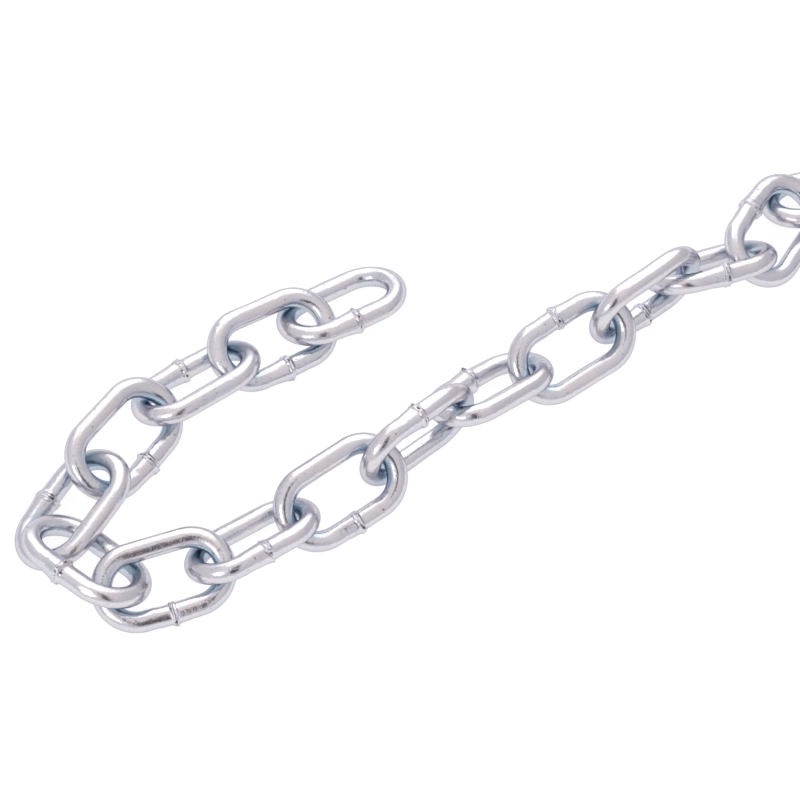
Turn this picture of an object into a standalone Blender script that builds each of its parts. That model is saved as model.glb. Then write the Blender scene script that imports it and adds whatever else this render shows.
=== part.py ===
"""A cut length of welded steel chain, lying loose on a level floor.

Each link is one round wire, bent to a long oval and butt-welded at the middle of one straight.
A link hangs in the next one's eye, and nothing else joins them.
"""
import math

import bpy
import numpy as np
from mathutils import Matrix

# One link, in metres
WIRE_DIAMETER = 0.0050
INSIDE_LENGTH = 0.0244
OUTSIDE_WIDTH = 0.0212

# The butt weld is a raised ring, with the wire swollen a little to each side of it
RING_HEIGHT = 0.00035
RING_HALF_WIDTH = 0.0006
SWELL_HEIGHT = 0.00025
SWELL_HALF_WIDTH = 0.0026

# Clearance left where two links pull on each other
RUNNING_GAP = 0.0004

# How finely the wire is cut: flats round its section, steps round each end bend,
# and cuts along the welded straight, measured from the weld
FLATS = 10
BEND_STEPS = 12
WELD_CUTS = (-0.0045, -0.0024, -0.0010, -0.0004, 0.0004, 0.0010, 0.0024, 0.0045)

# The bright zinc finish
ZINC_COLOUR = (0.74, 0.73, 0.76, 1.0)
ZINC_ROUGHNESS = 0.28

# The side of the link that its weld is on, seen along the chain
LEFT = 1
RIGHT = -1

# How each link lies, from the free end on: heading, pitch and roll in degrees,
# slack behind it in millimetres, and the side of its weld
LAY = (
    (-150, 1, 21, 0.0, LEFT),
    (-148, 5, -24, 4.2, LEFT),
    (-146, -2, 28, 1.3, RIGHT),
    (-125, 0, -33, 0.4, LEFT),
    (-122, -7, 19, 1.9, RIGHT),
    (-40, 2, -31, 5.1, RIGHT),
    (18, 1, 21, 3.6, RIGHT),
    (33, 0, -33, 1.3, RIGHT),
    (34, 7, 36, 0.1, RIGHT),
    (41, -2, 91, 0.5, LEFT),
    (39, -9, -30, 0.3, LEFT),
    (33, 7, 36, 0.4, LEFT),
    (38, 1, 91, 1.0, RIGHT),
    (21, -3, -38, 3.0, RIGHT),
    (59, -1, 26, 1.5, LEFT),
    (13, 5, -20, 4.3, LEFT),
    (-14, -2, 35, 1.2, RIGHT),
    (-44, 0, -23, 1.7, RIGHT),
    (-70, 2, 32, 1.2, LEFT),
    (-90, 0, -29, 1.0, RIGHT),
    (-106, -3, 27, 1.0, LEFT),
    (-90, 2, -32, 1.0, RIGHT),
    (-70, 1, 30, 1.0, RIGHT),
    (-86, 0, -28, 1.0, RIGHT),
    (-103, -4, 24, 1.5, LEFT),
)

WIRE_RADIUS = WIRE_DIAMETER / 2
BEND_RADIUS = OUTSIDE_WIDTH / 2 - WIRE_RADIUS
STRAIGHT = INSIDE_LENGTH - 2 * (BEND_RADIUS - WIRE_RADIUS)
# From the middle of one link's front bend to the middle of the next link's rear bend, pulled taut
TAUT_REACH = 2 * (BEND_RADIUS - WIRE_RADIUS) - RUNNING_GAP


def clear_scene():
    """Take everything out of the open scene."""
    for thing in list(bpy.data.objects):
        bpy.data.objects.remove(thing, do_unlink=True)


def centre_line():
    """Points along the middle of the wire, the way out of the link at each, and the wire's radius.

    The rear bend is centred on the origin and the front bend lies one straight ahead on +X.
    The path runs up the welded straight at +Y, round the front, back at -Y and round the rear.
    """
    weld = np.array(WELD_CUTS)
    bend = np.linspace(math.pi / 2, -math.pi / 2, BEND_STEPS + 1)
    front = np.stack([np.cos(bend), np.sin(bend)], axis=1)
    left = np.tile([0.0, 1.0], (len(weld), 1))
    outward = np.concatenate([left, front, -front])
    middle = np.concatenate([STRAIGHT / 2 + weld, np.full(len(bend), STRAIGHT), np.zeros(len(bend))])
    path = BEND_RADIUS * outward
    path[:, 0] += middle
    ring = RING_HEIGHT * (np.abs(weld) <= RING_HALF_WIDTH)
    swell = SWELL_HEIGHT * np.exp(-((weld / SWELL_HALF_WIDTH) ** 2))
    plain = np.full(2 * len(bend), WIRE_RADIUS)
    return path, outward, np.concatenate([WIRE_RADIUS + ring + swell, plain])


def link_mesh():
    """The closed ring of wire: a many-sided section carried round the centre line."""
    path, outward, radius = centre_line()
    turn = (np.arange(FLATS) + 0.5) * 2 * math.pi / FLATS
    across = radius[:, None] * np.cos(turn)
    height = radius[:, None] * np.sin(turn)
    flat_points = path[:, None, :] + across[:, :, None] * outward[:, None, :]
    points = np.concatenate([flat_points, height[:, :, None]], axis=2)
    cut, flat = np.meshgrid(np.arange(len(path)), np.arange(FLATS), indexing="ij")
    next_cut = (cut + 1) % len(path)
    next_flat = (flat + 1) % FLATS
    corners = [(cut, flat), (cut, next_flat), (next_cut, next_flat), (next_cut, flat)]
    faces = np.stack([at * FLATS + side for at, side in corners], axis=-1).reshape(-1, 4)
    mesh = bpy.data.meshes.new("link")
    mesh.from_pydata(points.reshape(-1, 3).tolist(), [], faces.tolist())
    mesh.shade_smooth()
    mesh.materials.append(zinc())
    return mesh


def zinc():
    """Bright zinc plating on steel wire."""
    material = bpy.data.materials.new("bright_zinc")
    material.use_nodes = True
    shader = material.node_tree.nodes["Principled BSDF"]
    shader.inputs["Base Color"].default_value = ZINC_COLOUR
    shader.inputs["Metallic"].default_value = 1.0
    shader.inputs["Roughness"].default_value = ZINC_ROUGHNESS
    return material


def link_axes(heading, pitch, roll):
    """The link's own forward, left and normal directions, as three columns."""
    head, rise, tilt = np.radians((heading, pitch, roll))
    level = np.array([math.cos(head), math.sin(head), 0.0])
    up = np.array([0.0, 0.0, 1.0])
    forward = level * math.cos(rise) + up * math.sin(rise)
    flat_left = np.cross(up, level)
    left = flat_left * math.cos(tilt) + np.cross(forward, flat_left) * math.sin(tilt)
    return np.stack([forward, left, np.cross(forward, left)], axis=1)


def lay_out():
    """Each link's axes and the place of its rear bend, found from link to link.

    A link's rear bend sits in the eye of the link before it. Seen from above, both bends'
    middles lie on the line where the two links' planes cross, one taut reach apart less the slack.
    """
    axes = [link_axes(*row[:3]) for row in LAY]
    places = [np.zeros(3)]
    for behind, ahead, row in zip(axes, axes[1:], LAY[1:]):
        front_bend = places[-1] + STRAIGHT * behind[:, 0]
        pull = np.cross(behind[:, 2], ahead[:, 2])
        pull /= np.linalg.norm(pull)
        pull *= np.sign(pull @ (behind[:, 0] + ahead[:, 0]))
        slack = row[3] / 1000
        places.append(front_bend + (TAUT_REACH - slack) * pull)
    return axes, places


def build():
    """Make every link, let it down to the floor, and centre the whole length on the origin."""
    clear_scene()
    mesh = link_mesh()
    shape = np.array([vertex.co for vertex in mesh.vertices])
    axes, places = lay_out()
    turned = []
    for place, frame, row in zip(places, axes, LAY):
        weld_side = row[4]
        turned.append(frame * np.array([1, weld_side, weld_side]))
        place[2] = -(shape @ turned[-1].T)[:, 2].min()
    cloud = np.concatenate([place + shape @ frame.T for place, frame in zip(places, turned)])
    low, high = cloud.min(axis=0), cloud.max(axis=0)
    base = np.array([(low[0] + high[0]) / 2, (low[1] + high[1]) / 2, 0.0])
    for number, (place, frame) in enumerate(zip(places, turned), start=1):
        link = bpy.data.objects.new(f"link_{number:02d}", mesh)
        bpy.context.scene.collection.objects.link(link)
        turn = Matrix([list(row) for row in frame])
        link.matrix_world = Matrix.Translation(place - base) @ turn.to_4x4()


build()
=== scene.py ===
"""A cut length of bright zinc-plated steel chain, lying loose on a plain white studio floor.

Each link is one wire, made here as a fine surface that stands for its plain CAD node: a drawn
section carried round the link's line, with the swollen wire and raised seam of its butt weld,
and the flats and marks that bending and welding leave.
"""

import math

import bpy
import numpy as np
from mathutils import Matrix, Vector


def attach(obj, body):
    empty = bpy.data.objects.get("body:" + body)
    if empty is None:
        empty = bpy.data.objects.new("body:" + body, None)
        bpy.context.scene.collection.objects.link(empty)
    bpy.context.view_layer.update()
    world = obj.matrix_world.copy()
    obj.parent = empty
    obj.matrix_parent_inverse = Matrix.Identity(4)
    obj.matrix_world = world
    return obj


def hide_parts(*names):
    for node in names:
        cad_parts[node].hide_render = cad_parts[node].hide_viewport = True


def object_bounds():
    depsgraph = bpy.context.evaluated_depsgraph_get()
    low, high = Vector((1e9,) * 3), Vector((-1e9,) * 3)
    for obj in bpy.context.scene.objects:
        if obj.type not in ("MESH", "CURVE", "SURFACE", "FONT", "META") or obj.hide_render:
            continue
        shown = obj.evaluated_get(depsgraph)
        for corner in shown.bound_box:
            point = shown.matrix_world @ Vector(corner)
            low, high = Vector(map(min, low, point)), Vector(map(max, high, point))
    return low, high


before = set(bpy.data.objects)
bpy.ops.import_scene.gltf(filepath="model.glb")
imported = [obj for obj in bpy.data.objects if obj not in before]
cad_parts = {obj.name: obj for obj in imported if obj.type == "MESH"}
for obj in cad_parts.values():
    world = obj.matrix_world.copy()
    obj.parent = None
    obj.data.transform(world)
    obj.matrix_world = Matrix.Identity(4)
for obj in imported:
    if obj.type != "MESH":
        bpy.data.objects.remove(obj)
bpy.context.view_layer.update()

# One link, in millimetres, as the CAD has it
WIRE = 2.5
BEND = 8.1
STRAIGHT = 13.2
LOOP = 2 * STRAIGHT + 2 * math.pi * BEND
MM = 0.001

# How finely a link is cut: round its wire, and along it in millimetres, close by the weld
# and away from it
ROUND = 64
WELD_REACH = 3.6
WELD_STEP = 0.12
WIRE_STEP = 0.45

# For each link from the free end on: the end that the wire swells towards at its weld, 1 for the
# front and -1 for the rear, how much it swells in millimetres, how heavy the seam is, how far the
# wire bows there in millimetres, and where its worst pit is, in degrees from the side one sees
WELDS = (
    (1, 0.42, 1.05, 0.1, 10),
    (1, 0.44, 1.10, 0.1, 30),
    (1, 0.38, 0.95, 0.1, -40),
    (1, 0.36, 1.15, 0.1, 70),
    (1, 0.42, 1.00, 0.1, -20),
    (-1, 0.40, 1.25, 0.3, -60),
    (1, 0.14, 1.30, 0.2, 45),
    (-1, 0.20, 0.90, 0.1, 15),
    (-1, 0.22, 1.10, 0.1, 35),
    (-1, 0.34, 1.15, 0.1, -30),
    (-1, 0.44, 1.15, 0.1, -70),
    (1, 0.38, 1.05, 0.2, 20),
    (-1, 0.34, 0.90, 0.1, 50),
    (-1, 0.30, 0.95, 0.1, 20),
    (1, 0.36, 0.90, 0.2, 60),
    (1, 0.40, 1.00, 0.1, 120),
    (-1, 0.42, 1.05, 0.2, 30),
    (1, 0.40, 1.00, 0.1, -50),
    (1, 0.38, 0.95, 0.2, 10),
    (-1, 0.44, 1.10, 0.1, 90),
    (1, 0.40, 1.00, 0.1, 0),
    (1, 0.38, 0.95, 0.2, -30),
    (-1, 0.42, 1.05, 0.1, 60),
    (1, 0.40, 1.00, 0.1, 150),
    (-1, 0.40, 1.00, 0.2, 20),
)

# The shape of every weld, in millimetres: how the swollen wire tapers off on one side of the seam
# and drops on the other, each ridge's height, place and width, and the groove's depth, place and
# width. The places count from the seam towards the swollen end.
SWELL_TAPER = 3.1
SWELL_DROP = 0.85
RIDGES = ((0.24, 0.46, 0.34), (0.27, -0.32, 0.30))
GROOVE_DEPTH = 0.16
GROOVE_PLACE = 0.06
GROOVE_WIDTH = 0.17

# The flats that the welding jaws pressed on a few links, by link: how far each lies from the weld
# towards the front in millimetres, how many degrees from the seen side, and half its length
PRESSED = {
    4: ((5.2, 10, 0.9),),
    6: ((-5.6, 30, 1.7), (8.0, 10, 1.1)),
    7: ((-8.6, -15, 2.4), (8.3, -10, 1.2)),
}
PRESS_DEPTH = 0.09

# A straight's section is a little squarer than a circle, by this much more than a power of two,
# and thinner by this share of the wire
SQUARER = 0.30
THINNER = 0.012

# How uneven each link is, in millimetres: its wire's radius, and its line sideways and upwards
UNEVEN_RADIUS = 0.025
SIDEWAYS_SWAY = 0.10
UPWARD_SWAY = 0.08

# Pits and nicks get painted shade, darker the deeper they are; at this depth, in millimetres, the
# painted shade is darkest
PIT_DEPTH_FOR_DARKEST_SHADE = 0.15

# How far the next links' wire still casts painted shade on a link's metal, in millimetres
PAINTED_SHADE_REACH = 4.0

# The way to the photo's camera: the seen side of a link faces it
UPPER_FRONT = np.array([0.0, -0.56, 0.83])

# Random turns in radians are drawn from nought to this, a little over a whole turn
ANY_TURN = 6.3


def stations():
    """Distances along the wire from the weld, in millimetres, closer together by the weld."""
    near = np.arange(-WELD_REACH, WELD_REACH + WELD_STEP / 2, WELD_STEP)
    steps = round((LOOP - 2 * WELD_REACH) / WIRE_STEP)
    rest = np.linspace(WELD_REACH, LOOP - WELD_REACH, steps + 1)
    return np.concatenate([near, rest[1:-1]])


def wire_line(along):
    """The wire's middle at each distance from the weld, and the way out of the link there.

    The line is two straights joined by two half circles. The rear half circle is centred on
    the origin, the front one a straight ahead on +X, and the welded straight lies at +Y.
    """
    run = np.mod(along + STRAIGHT / 2, LOOP)
    arc = math.pi * BEND
    front = math.pi / 2 - (run - STRAIGHT) / BEND
    rear = -math.pi / 2 - (run - 2 * STRAIGHT - arc) / BEND
    on_weld_side = run < STRAIGHT
    on_front = (run >= STRAIGHT) & (run < STRAIGHT + arc)
    on_plain_side = (run >= STRAIGHT + arc) & (run < 2 * STRAIGHT + arc)
    stretches = [on_weld_side, on_front, on_plain_side]
    turn = np.select(stretches, [math.pi / 2, front, -math.pi / 2], rear)
    ahead = np.select(stretches, [run, STRAIGHT, 2 * STRAIGHT + arc - run], 0.0)
    outward = np.stack([np.cos(turn), np.sin(turn)], axis=-1)
    middle = BEND * outward
    middle[..., 0] += ahead
    return middle, outward


def hump(x, width):
    """A smooth bump, one high at x = 0 and spent at about twice its width."""
    return np.exp(-((x / width) ** 2))


def straightness(along):
    """One in the middle of either straight, falling smoothly to nought within its bends."""
    half = LOOP / 2
    softness = 0.9
    from_weld = np.abs(along - LOOP * np.round(along / LOOP))
    from_middle = np.minimum(from_weld, half - from_weld)
    return 1 / (1 + np.exp((from_middle - STRAIGHT / 2) / softness))


def waves(along, turn, rng, most_along, count=5):
    """A gentle unevenness about one high, the sum of a few waves.

    The waves close round the wire and along it, where each has at most most_along crests.
    """
    total = 0.0
    for _ in range(count):
        along_times = rng.integers(1, most_along + 1) * rng.choice([-1, 1])
        round_times = rng.integers(0, 4)
        phase = rng.uniform(0, 2 * math.pi)
        run = 2 * math.pi * along_times * along / LOOP
        total = total + np.cos(run + round_times * turn + phase)
    return total / math.sqrt(count)


def spot(along, turn, at, facing, length, breadth):
    """A smooth round bump, one high, a distance at along the wire and a turn facing round it."""
    gap = along - at
    gap = gap - LOOP * np.round(gap / LOOP)
    across = WIRE * np.angle(np.exp(1j * (turn - facing)))
    return hump(gap, length) * hump(across, breadth)


def ragged(turn, rng):
    """An uneven factor about one that closes round the wire, one plus waves of growing number."""
    total = 1.0
    for times, size in ((1, 0.20), (2, 0.22), (3, 0.20), (5, 0.18), (8, 0.14), (13, 0.10)):
        total = total + size * np.sin(times * turn + rng.uniform(0, ANY_TURN))
    return total


def scatter(total, along, turn, rng, count, heights, spread, lengths, breadths):
    """Adds bumps to total at random places near the weld, of random height, length and breadth."""
    for _ in range(count):
        total = total + rng.uniform(*heights) * spot(
            along, turn, rng.normal(0, spread), rng.uniform(0, ANY_TURN),
            rng.uniform(*lengths), rng.uniform(*breadths))
    return total


def weld_height(along, turn, weld, facing, rng):
    """How far the butt weld stands proud of the wire, and how pitted it is, in millimetres.

    The squeezed wire swells on one side of the seam and tapers off along it, and drops
    quickly on the other. The seam is two ragged ridges with a broken groove between, which wander
    round the wire, with beads of spilt metal on them and a few pits, the worst on the seen side.
    """
    swell_end, swell, heft, _, worst = weld
    wander = 0.14 * np.sin(turn + rng.uniform(0, ANY_TURN)) + 0.12 * (ragged(turn, rng) - 1)
    past = swell_end * along - wander
    swollen = swell * np.where(past > 0, hump(past, SWELL_TAPER), hump(past, SWELL_DROP))
    ridges = 0.0
    for height, place, width in RIDGES:
        ridges = ridges + height * ragged(turn, rng) * hump(past - place, width)
    broken = np.clip(ragged(turn, rng) - 0.7, 0, 1)
    groove = GROOVE_DEPTH * broken * hump(past - GROOVE_PLACE, GROOVE_WIDTH)
    scar = facing + math.radians(worst)
    beads = 0.30 * spot(along, turn, 0.15 * swell_end, scar + 0.35, 0.36, 0.50)
    pits = 0.34 * spot(along, turn, -0.1 * swell_end, scar, 0.24, 0.30)
    beads = scatter(beads, along, turn, rng, 9, (0.06, 0.24), 0.35, (0.2, 0.4), (0.3, 0.6))
    pits = scatter(pits, along, turn, rng, 5, (0.08, 0.24), 0.4, (0.14, 0.26), (0.2, 0.4))
    return swollen + heft * (ridges + beads), heft * (pits + groove)


def tool_marks(along, turn, rng):
    """Shallow hollows where the welding jaws gripped, and a few chance nicks, in millimetres."""
    grips = 0.0
    for side in (-1, 1):
        for face in (math.pi / 2, -math.pi / 2):
            at = side * rng.uniform(5.2, 7.4)
            depth = rng.uniform(0.03, 0.09)
            grips = grips + depth * spot(along, turn, at, face + rng.uniform(-0.4, 0.4), 0.9, 1.3)
    nicks = 0.0
    for _ in range(16):
        size = rng.uniform(0.16, 0.42)
        nicks = nicks + rng.uniform(0.03, 0.11) * spot(
            along, turn, rng.uniform(4, LOOP - 4), rng.uniform(0, ANY_TURN),
            size, size * rng.uniform(0.6, 2.2))
    return grips, nicks


def pressed(radius, along, turn, flats, facing):
    """The wire's radius with each flat pressed in: no higher than a plane, over a short stretch."""
    edge = 0.12
    for at, side, half_length in flats:
        gap = along - at
        gap = np.abs(gap - LOOP * np.round(gap / LOOP))
        here = 1 / (1 + np.exp((gap - half_length) / edge))
        lean = np.cos(turn - facing - math.radians(side))
        plane = (WIRE - PRESS_DEPTH) / np.maximum(lean, 0.3)
        radius = radius - here * np.maximum(radius - plane, 0)
    return radius


def link_points(number, facing):
    """The link's surface in its own frame, in millimetres, one row of points round each station.

    Its radius is the wire's, made a little square on the straights, plus the weld and a slight
    unevenness, less the tool marks. The welded straight bows out a little towards its seam.
    Also returned are each point's distance along and turn round the wire, and how pitted it is.
    """
    rng = np.random.default_rng(4100 + number)
    weld = WELDS[number - 1]
    along = stations()[:, None]
    turn = (np.arange(ROUND) * 2 * math.pi / ROUND)[None, :]
    middle, outward = wire_line(along[:, 0])
    flat = straightness(along)
    power = 2.0 + SQUARER * flat
    tilt = turn + 0.10 * flat * rng.uniform(-1, 1)
    section = (np.abs(np.cos(tilt)) ** power + np.abs(np.sin(tilt)) ** power) ** (-1 / power)
    seam, pits = weld_height(along, turn, weld, facing, rng)
    grips, nicks = tool_marks(along, turn, rng)
    radius = WIRE * section * (1 - THINNER * flat) + UNEVEN_RADIUS * waves(along, turn, rng, 7)
    radius = radius + seam - pits - grips - nicks
    radius = pressed(radius, along, turn, PRESSED.get(number, ()), facing)
    bow = weld[3] * hump(along, 4.6) + SIDEWAYS_SWAY * waves(along, 0 * along, rng, 2, 3)
    lift = UPWARD_SWAY * waves(along, 0 * along, rng, 2, 3)
    out = radius * np.cos(turn) + bow
    up = radius * np.sin(turn) + lift
    points = np.empty(out.shape + (3,))
    points[..., :2] = middle[:, None, :] + out[..., None] * outward[:, None, :]
    points[..., 2] = up
    return points, along, turn, pits + nicks


def resting_place(node, towards):
    """Where the CAD has the link: its rear bend's middle, and its own forward, side and normal.

    A link is alike end to end and face to face, so the spread of its corners gives its own
    axes exactly. Corners in mid-straight belong to the weld and tell which side it is on.
    """
    corners = np.array([vertex.co for vertex in node.data.vertices], float)
    corners = np.unique(np.round(corners, 6), axis=0)
    centre = corners.mean(axis=0)
    _, axes = np.linalg.eigh(np.cov((corners - centre).T))
    side, forward = axes[:, 1], axes[:, 2]
    if forward @ towards < 0:
        forward = -forward
    ahead = (corners - centre) @ forward
    across = (corners - centre) @ side
    at_bends = across[np.abs(ahead) > STRAIGHT / 2 * MM - 1e-5]
    shift = (at_bends.max() + at_bends.min()) / 2
    centre = centre + shift * side
    if (across[np.abs(ahead) < MM] - shift).mean() < 0:
        side = -side
    return centre - STRAIGHT / 2 * MM * forward, forward, side, np.cross(forward, side)


def surface(name, points):
    """A mesh object from a grid of points that closes on itself both ways, its faces outward."""
    rows, cols = points.shape[:2]
    row, col = np.meshgrid(np.arange(rows), np.arange(cols), indexing="ij")
    next_row, next_col = (row + 1) % rows, (col + 1) % cols
    faces = np.stack([row * cols + col, row * cols + next_col,
                      next_row * cols + next_col, next_row * cols + col], axis=-1).reshape(-1, 4)
    mesh = bpy.data.meshes.new(name)
    mesh.from_pydata(points.reshape(-1, 3), [], faces)
    mesh.shade_smooth()
    thing = bpy.data.objects.new(name, mesh)
    bpy.context.scene.collection.objects.link(thing)
    return thing


def keep(mesh, name, values):
    """Stores a number or a vector for each point of a piece."""
    kind, field = ("FLOAT_VECTOR", "vector") if values.shape[-1] == 3 else ("FLOAT", "value")
    stored = mesh.attributes.new(name, kind, "POINT")
    stored.data.foreach_set(field, values.astype(np.float32).ravel())


def keep_wire_coordinates(mesh, along, turn, number):
    """Stores where each point is on its wire, and how far it faces into a bend.

    The place is a ring along the wire and a ring round it, so that the grain closes on itself.
    Each link's rings lie far from the next one's, so that no two links share their grain.
    """
    round_the_link = 2 * math.pi * along / LOOP + 0 * turn
    round_the_wire = turn + 0 * along
    ring = LOOP / (2 * math.pi)
    far_apart = 17.0
    keep(mesh, "wire_ring", np.stack([ring * np.cos(round_the_link), ring * np.sin(round_the_link),
                                      WIRE * np.cos(round_the_wire)], axis=-1))
    keep(mesh, "wire_turn", WIRE * np.sin(round_the_wire) + far_apart * number)
    # The inner side of bends is given painted shade in the material
    inner = np.clip(-np.cos(turn), 0, 1) * (1 - 0.65 * straightness(along))
    keep(mesh, "inside_bend", inner)


def painted_shade_nearness(points, others):
    """How closely the next links hem each point in, which sets the painted shade between links: one
    where their wire touches, nought far off.

    It falls evenly with the gap to the nearest point on the other links' wire lines, less the
    wire's radius, and reaches nought at PAINTED_SHADE_REACH.
    """
    near = np.full(len(points), np.inf)
    for line in others:
        for part in np.array_split(line, 6):
            gap = np.linalg.norm(points[:, None, :] - part[None], axis=2).min(axis=1)
            near = np.minimum(near, gap)
    return np.clip(1 - (near / MM - WIRE) / PAINTED_SHADE_REACH, 0, 1)


class Value:
    """A shader socket that Python's own operators work on, each adding one Math node."""

    def __init__(self, shader, socket):
        self.shader, self.socket = shader, socket

    def _math(self, operation, first, second):
        return self.shader.add("ShaderNodeMath", {"operation": operation}, {0: first, 1: second})

    def __add__(self, other):
        return self._math("ADD", self, other)

    def __radd__(self, other):
        return self._math("ADD", other, self)

    def __sub__(self, other):
        return self._math("SUBTRACT", self, other)

    def __rsub__(self, other):
        return self._math("SUBTRACT", other, self)

    def __mul__(self, other):
        return self._math("MULTIPLY", self, other)

    def __rmul__(self, other):
        return self._math("MULTIPLY", other, self)

    def smooth(self, low, high):
        """Nought below low, one above high, and a smooth step between."""
        return self.shader.add("ShaderNodeMapRange", {"interpolation_type": "SMOOTHSTEP"},
                               {"Value": self, "From Min": low, "From Max": high})

    def between(self, low, high, soft):
        """One from low to high, nought outside them, with edges that take twice soft to change."""
        rise = (self - low).smooth(-soft, soft)
        fall = (self - high).smooth(-soft, soft)
        return rise * (1 - fall)


class Shader:
    """The nodes of one material or of the world."""

    def __init__(self, tree):
        self.tree = tree

    def add(self, kind, settings=None, inputs=None, output=0):
        """Adds a node, sets it, gives each named socket its value or link, returns one output."""
        made = self.tree.nodes.new(kind)
        for name, setting in (settings or {}).items():
            setattr(made, name, setting)
        for name, given in (inputs or {}).items():
            self.give(made.inputs[name], given)
        return Value(self, made.outputs[output])

    def give(self, socket, given):
        """Links a Value to a socket, or sets the socket to a plain value."""
        if isinstance(given, Value):
            self.tree.links.new(given.socket, socket)
        else:
            socket.default_value = given

    def mix(self, factor, first, second):
        """Mixes two colours."""
        return self.add("ShaderNodeMix", {"data_type": "RGBA"},
                        {0: factor, 6: first, 7: second}, output=2)

    def noise(self, vector, scale, detail=3.0):
        """Soft random cloud, between nought and one."""
        return self.add("ShaderNodeTexNoise", None,
                        {"Vector": vector, "Scale": scale, "Detail": detail, "Roughness": 0.55})

    def attribute(self, name, output=2):
        """A stored attribute: output 1 is a vector and 2 a number."""
        return self.add("ShaderNodeAttribute", {"attribute_name": name}, output=output)


def colour(red, green, blue):
    """A solid colour with its fourth number."""
    return (red, green, blue, 1.0)


def bright_zinc():
    """Bright zinc plating, drawn and pitted: silvery and lilac by patches, with painted shade that
    makes it darker and bluer in recesses and between links, and darker in deep pits.
    """
    material = bpy.data.materials.new("bright_zinc")
    material.use_nodes = True
    s = Shader(material.node_tree)
    shader = material.node_tree.nodes["Principled BSDF"]
    place = s.add("ShaderNodeTexCoord", output=3)
    ring = s.attribute("wire_ring", output=1)
    turn = s.attribute("wire_turn")
    # Masks for painted shade: the inner side of bends, nearness to the next links, and pit depth
    inside = s.attribute("inside_bend")
    painted_shade_between_links = s.attribute("painted_shade_nearness")
    pitted = s.attribute("pitted")

    cloudy = s.noise(place, 170.0)
    fine = s.noise(place, 1300.0)
    grain = s.noise(place, 2700.0, 2.0)
    lengthwise, crosswise = 0.25, 2.6
    long_ring = s.add("ShaderNodeVectorMath", {"operation": "MULTIPLY"},
                      {0: ring, 1: (lengthwise, lengthwise, crosswise)})
    drawn = s.add("ShaderNodeTexNoise", {"noise_dimensions": "4D"},
                  {"Vector": long_ring, "W": turn * crosswise, "Scale": 1.0, "Detail": 3.0,
                   "Roughness": 0.6})
    cells = s.add("ShaderNodeTexVoronoi", None, {"Vector": place, "Scale": 330.0})
    pits = (1 - cells.smooth(0.05, 0.13)) * cloudy.smooth(0.52, 0.64)
    crowd = s.add("ShaderNodeTexVoronoi", None, {"Vector": place, "Scale": 900.0})
    specks = (1 - crowd.smooth(0.10, 0.24)) * (1 - cloudy.smooth(0.36, 0.47))

    tint = s.mix(cloudy.smooth(0.35, 0.65), colour(0.66, 0.66, 0.71), colour(0.71, 0.67, 0.695))
    # Painted shade: the metal is darker and bluer where the next links hem it in and on the inner
    # side of bends
    tint = s.mix((inside * 0.45 + painted_shade_between_links * 0.75).smooth(0.0, 1.0), tint, colour(0.49, 0.585, 0.66))
    tint = s.mix(fine.smooth(0.45, 0.75) * 0.30, tint, colour(0.52, 0.52, 0.56))
    tint = s.mix(specks * 0.55, tint, colour(0.30, 0.26, 0.25))
    tint = s.mix(pits * 0.75, tint, colour(0.16, 0.14, 0.13))
    # Painted shade in the weld's pits and the nicks, darker the deeper they are
    tint = s.mix(pitted.smooth(0.35, 1.0) * 0.85, tint, colour(0.13, 0.10, 0.10))
    s.give(shader.inputs["Base Color"], tint)
    shader.inputs["Metallic"].default_value = 1.0
    shader.inputs["Specular Tint"].default_value = colour(0.62, 0.60, 0.70)
    rough = 0.12 + 0.07 * cloudy.smooth(0.3, 0.7) + 0.08 * fine.smooth(0.4, 0.8) + 0.3 * pits
    s.give(shader.inputs["Roughness"], rough)

    height = 0.6 * drawn + 1.5 * grain + 2.2 * fine - 2.0 * pits - 1.5 * specks
    bump = s.add("ShaderNodeBump", None, {"Strength": 1.0, "Distance": 0.00002, "Height": height})
    s.give(shader.inputs["Normal"], bump)
    return material


def chain():
    """Every link in its CAD place, riding on its own body."""
    zinc = bright_zinc()
    nodes = [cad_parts[f"link_{number:02d}"] for number in range(1, len(WELDS) + 1)]
    corners = [np.array([vertex.co for vertex in one.data.vertices], float) for one in nodes]
    middles = [own.mean(axis=0) for own in corners]
    flat_line = wire_line(np.linspace(0, LOOP, 97)[:-1])[0] * MM
    rests, lines = [], []
    for number, one in enumerate(nodes):
        behind, ahead = max(number - 1, 0), min(number + 1, len(nodes) - 1)
        rest = resting_place(one, middles[ahead] - middles[behind])
        rests.append(rest)
        lines.append(rest[0] + flat_line @ np.stack(rest[1:3]))
    for number, one in enumerate(nodes, start=1):
        origin, forward, side, normal = rests[number - 1]
        facing = math.atan2(normal @ UPPER_FRONT, side @ UPPER_FRONT)
        local, along, turn, pits = link_points(number, facing)
        points = origin + local * MM @ np.stack([forward, side, normal])
        points[..., 2] = np.maximum(points[..., 2], 0.0)
        piece = surface(f"wire_{number:02d}", points)
        keep_wire_coordinates(piece.data, along, turn, number)
        # Pit and nick depth, the mask for the painted shade in them
        keep(piece.data, "pitted", np.clip(pits / PIT_DEPTH_FOR_DARKEST_SHADE, 0, 1))
        neighbours = lines[max(number - 2, 0):number - 1] + lines[number:number + 1]
        # Nearness to the next links, the mask for the painted shade between links
        keep(piece.data, "painted_shade_nearness", painted_shade_nearness(points.reshape(-1, 3), neighbours)[:, None])
        piece.data.materials.append(zinc)
        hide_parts(one.name)
        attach(piece, one.name)


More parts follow.
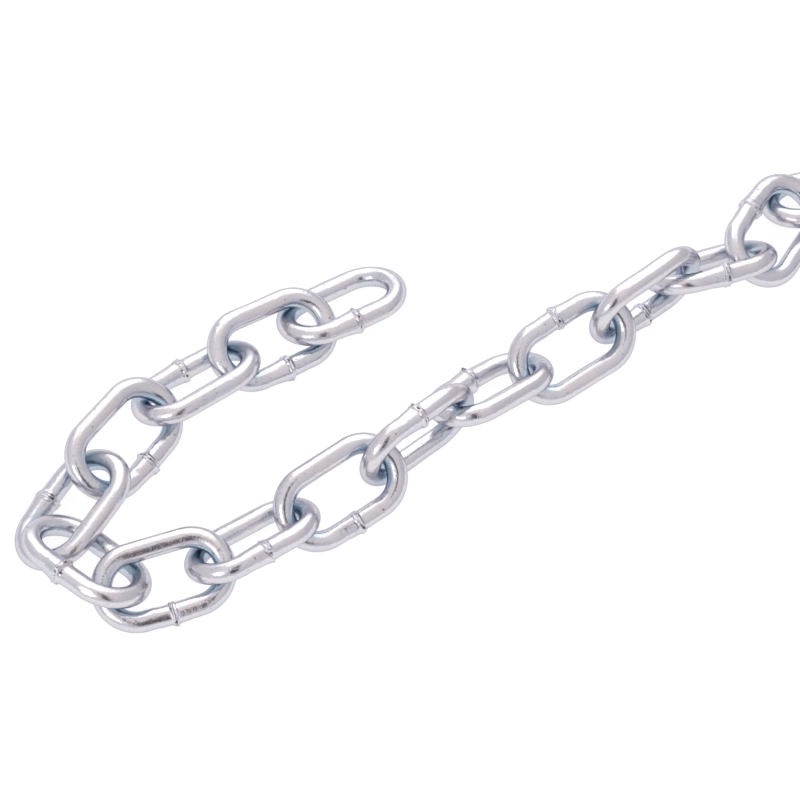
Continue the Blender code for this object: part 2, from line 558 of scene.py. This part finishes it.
def floor_and_sky(floor_height):
    """A wide, softly glowing white floor, and a white studio with a big soft window behind."""
    bpy.ops.mesh.primitive_plane_add(size=6.0, location=(0, 0, floor_height))
    floor = bpy.context.object
    floor.name = "floor"
    paper = bpy.data.materials.new("white_floor")
    paper.use_nodes = True
    shader = paper.node_tree.nodes["Principled BSDF"]
    shader.inputs["Base Color"].default_value = colour(0.15, 0.15, 0.15)
    shader.inputs["Roughness"].default_value = 0.9
    shader.inputs["Emission Color"].default_value = colour(1.0, 1.0, 1.0)
    shader.inputs["Emission Strength"].default_value = 0.90
    floor.data.materials.append(paper)

    world = bpy.data.worlds.new("studio")
    bpy.context.scene.world = world
    world.use_nodes = True
    s = Shader(world.node_tree)
    way = s.add("ShaderNodeTexCoord")
    x, y, z = (s.add("ShaderNodeSeparateXYZ", None, {0: way}, output=axis) for axis in range(3))

    # Directions in degrees: how high above the floor, and how far to the right of straight back
    degrees = 180 / math.pi
    rise = s.add("ShaderNodeMath", {"operation": "ARCSINE"}, {0: z}) * degrees
    back = s.add("ShaderNodeMath", {"operation": "ARCTAN2"}, {0: x, 1: y}) * degrees

    # The room grows brighter upwards, to the left and to the front
    higher = rise.smooth(0.0, 85.0)
    leftwards = 1 - x.smooth(-1.0, 1.0)
    frontwards = (0 - y).smooth(0.0, 0.8)
    level = 0.66 + 0.22 * higher + 0.10 * leftwards + 0.05 * frontwards
    tent = s.mix(higher, colour(0.98, 0.97, 1.03), colour(1.04, 0.99, 0.99))
    glow = s.add("ShaderNodeVectorMath", {"operation": "SCALE"}, {0: tent, "Scale": level})

    # The window's left and right edges lean outwards as they rise, and a darker bar crosses its
    # upper right
    above = (rise - 35.0).smooth(0.0, 40.0) * 32.0
    right_edge = (back - (rise - 35.0) * 0.8).between(-90.0, 34.0, 8.0)
    left_edge = (back + above).between(-34.0, 120.0, 8.0)
    window = right_edge * left_edge
    window = window * rise.between(13.0, 73.0, 9.0)
    bar = rise.between(57.0, 62.5, 1.5) * back.smooth(14.0, 24.0)
    window = window * (1 - 0.75 * bar)
    light = s.mix(window, glow, colour(1.85, 1.85, 1.85))
    s.give(world.node_tree.nodes["Background"].inputs["Color"], light)


def small_light():
    """A small soft light to the left of the camera, shining down and out of the camera's sight."""
    lamp = bpy.data.lights.new("small_light", "AREA")
    lamp.shape = "RECTANGLE"
    lamp.size, lamp.size_y = 0.26, 0.36
    radiance = 2.4
    lamp.energy = radiance * math.pi * lamp.size * lamp.size_y
    holder = bpy.data.objects.new("small_light", lamp)
    holder.location = (-0.38, -0.43, 0.35)
    holder.visible_camera = False
    bpy.context.scene.collection.objects.link(holder)


def dark_board():
    """A soft-edged dark board over the front of the set, seen in the metal's reflections only."""
    bpy.ops.mesh.primitive_plane_add(size=1.0)
    board = bpy.context.object
    board.name = "dark_board"
    stretched = Matrix.Diagonal((0.70, 1.1, 1.0, 1.0))
    board.data.transform(Matrix.Translation((0.08, -0.60, 0.35)) @ stretched)
    felt = bpy.data.materials.new("dark_felt")
    felt.use_nodes = True
    s = Shader(felt.node_tree)
    place = s.add("ShaderNodeTexCoord", output=3)
    across = s.add("ShaderNodeSeparateXYZ", None, {0: place}, output=0)
    deep = s.add("ShaderNodeSeparateXYZ", None, {0: place}, output=1)
    slanting_edge = (-0.06 - 0.40 * deep - across).smooth(-0.012, 0.012)
    left_edge = (across + 0.085).smooth(-0.03, 0.03)
    thick = slanting_edge * left_edge * deep.between(-1.0, -0.115, 0.012)
    clear = s.add("ShaderNodeBsdfTransparent")
    dim = s.add("ShaderNodeEmission", None, {"Color": colour(0.09, 0.07, 0.08), "Strength": 1.0})
    both = s.add("ShaderNodeMixShader", None, {0: thick, 1: clear, 2: dim})
    s.give(felt.node_tree.nodes["Material Output"].inputs["Surface"], both)
    board.data.materials.append(felt)
    for ray in ("camera", "diffuse", "shadow", "transmission", "volume_scatter"):
        setattr(board, f"visible_{ray}", False)


def camera():
    """The photo's view: from 56 degrees above the floor, looking along +Y."""
    elevation = math.radians(56.0)
    reach = 0.654
    aim = (-0.0447, 0.0251, 0.0)
    focal_length_px, photo_width_px, sensor_mm = 2676, 800, 36.0
    lens = bpy.data.cameras.new("camera")
    lens.sensor_width = sensor_mm
    lens.lens = focal_length_px / photo_width_px * sensor_mm
    holder = bpy.data.objects.new("camera", lens)
    holder.location = (aim[0], aim[1] - reach * math.cos(elevation),
                       aim[2] + reach * math.sin(elevation))
    holder.rotation_euler = (math.pi / 2 - elevation, 0, 0)
    bpy.context.scene.collection.objects.link(holder)
    bpy.context.scene.camera = holder
    bpy.context.scene.view_settings.view_transform = "Standard"


chain()
camera()
visual_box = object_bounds()
floor_and_sky(min(visual_box[0].z, 0.0))
small_light()
dark_board()
